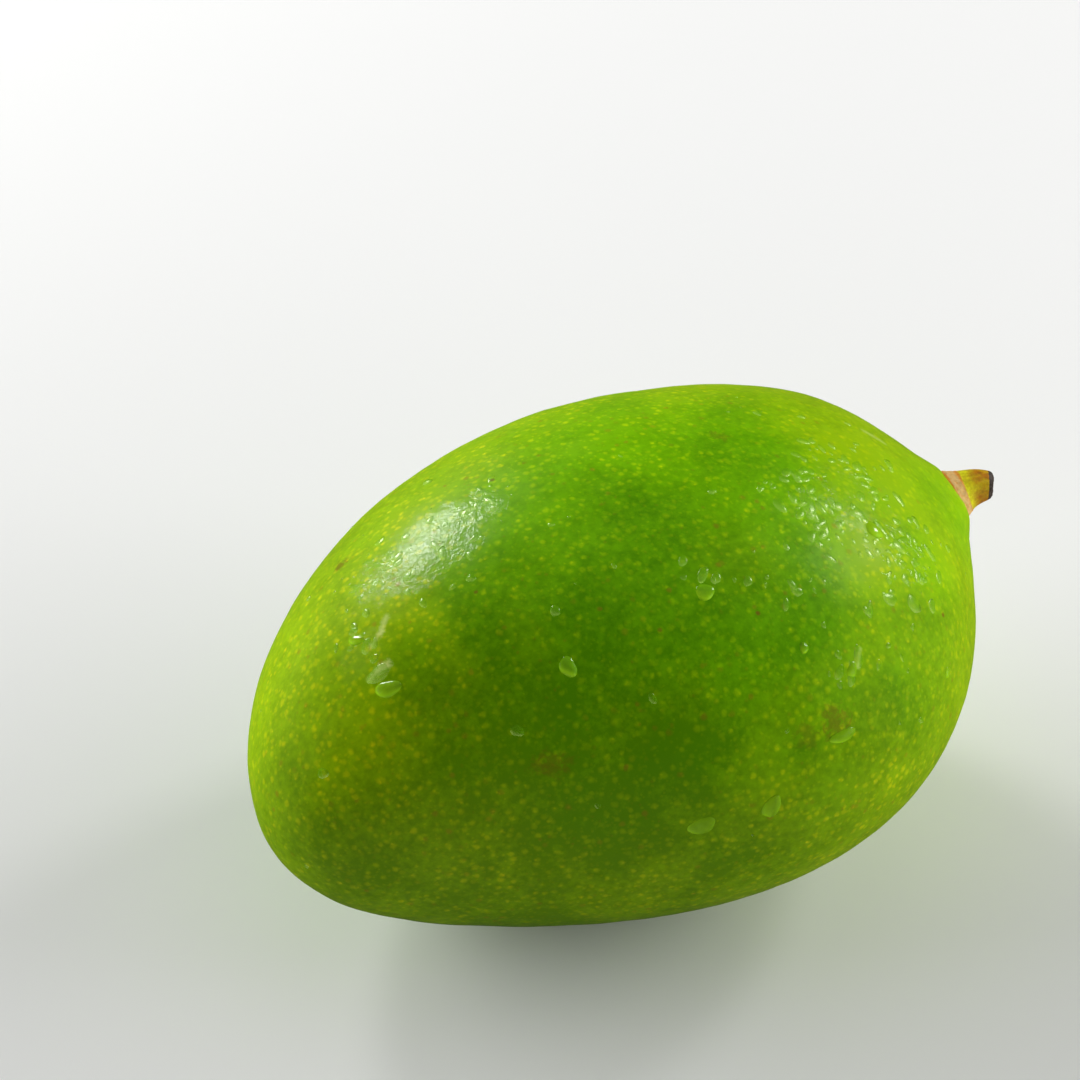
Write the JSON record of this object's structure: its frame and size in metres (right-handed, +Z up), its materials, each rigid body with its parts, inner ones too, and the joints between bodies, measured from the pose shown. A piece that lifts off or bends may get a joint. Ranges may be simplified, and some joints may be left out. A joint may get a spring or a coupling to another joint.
{
  "type": "mango",
  "caption": "Unripe green mango lying on one cheek, with a straight belly line towards its rounded tip and a short woody stub of stalk.",
  "frame": {"origin": "under the middle of the whole part, at the level of the flat spot that it rests on", "axes": "+X along the fruit from its tip to its stalk end, +Y towards its back, +Z up through its cheeks"},
  "size_m": [0.1116, 0.0758, 0.059],
  "materials": {
    "mango_skin": "waxy, wet, bright green with fine pale lenticels",
    "stalk_bark": "matt olive-yellow to brown bark with a tan corky collar and a dark cut end"
  },
  "bodies": {
    "root": {"fruit": "mango_skin", "stalk": "stalk_bark"}
  },
  "joints": []
}
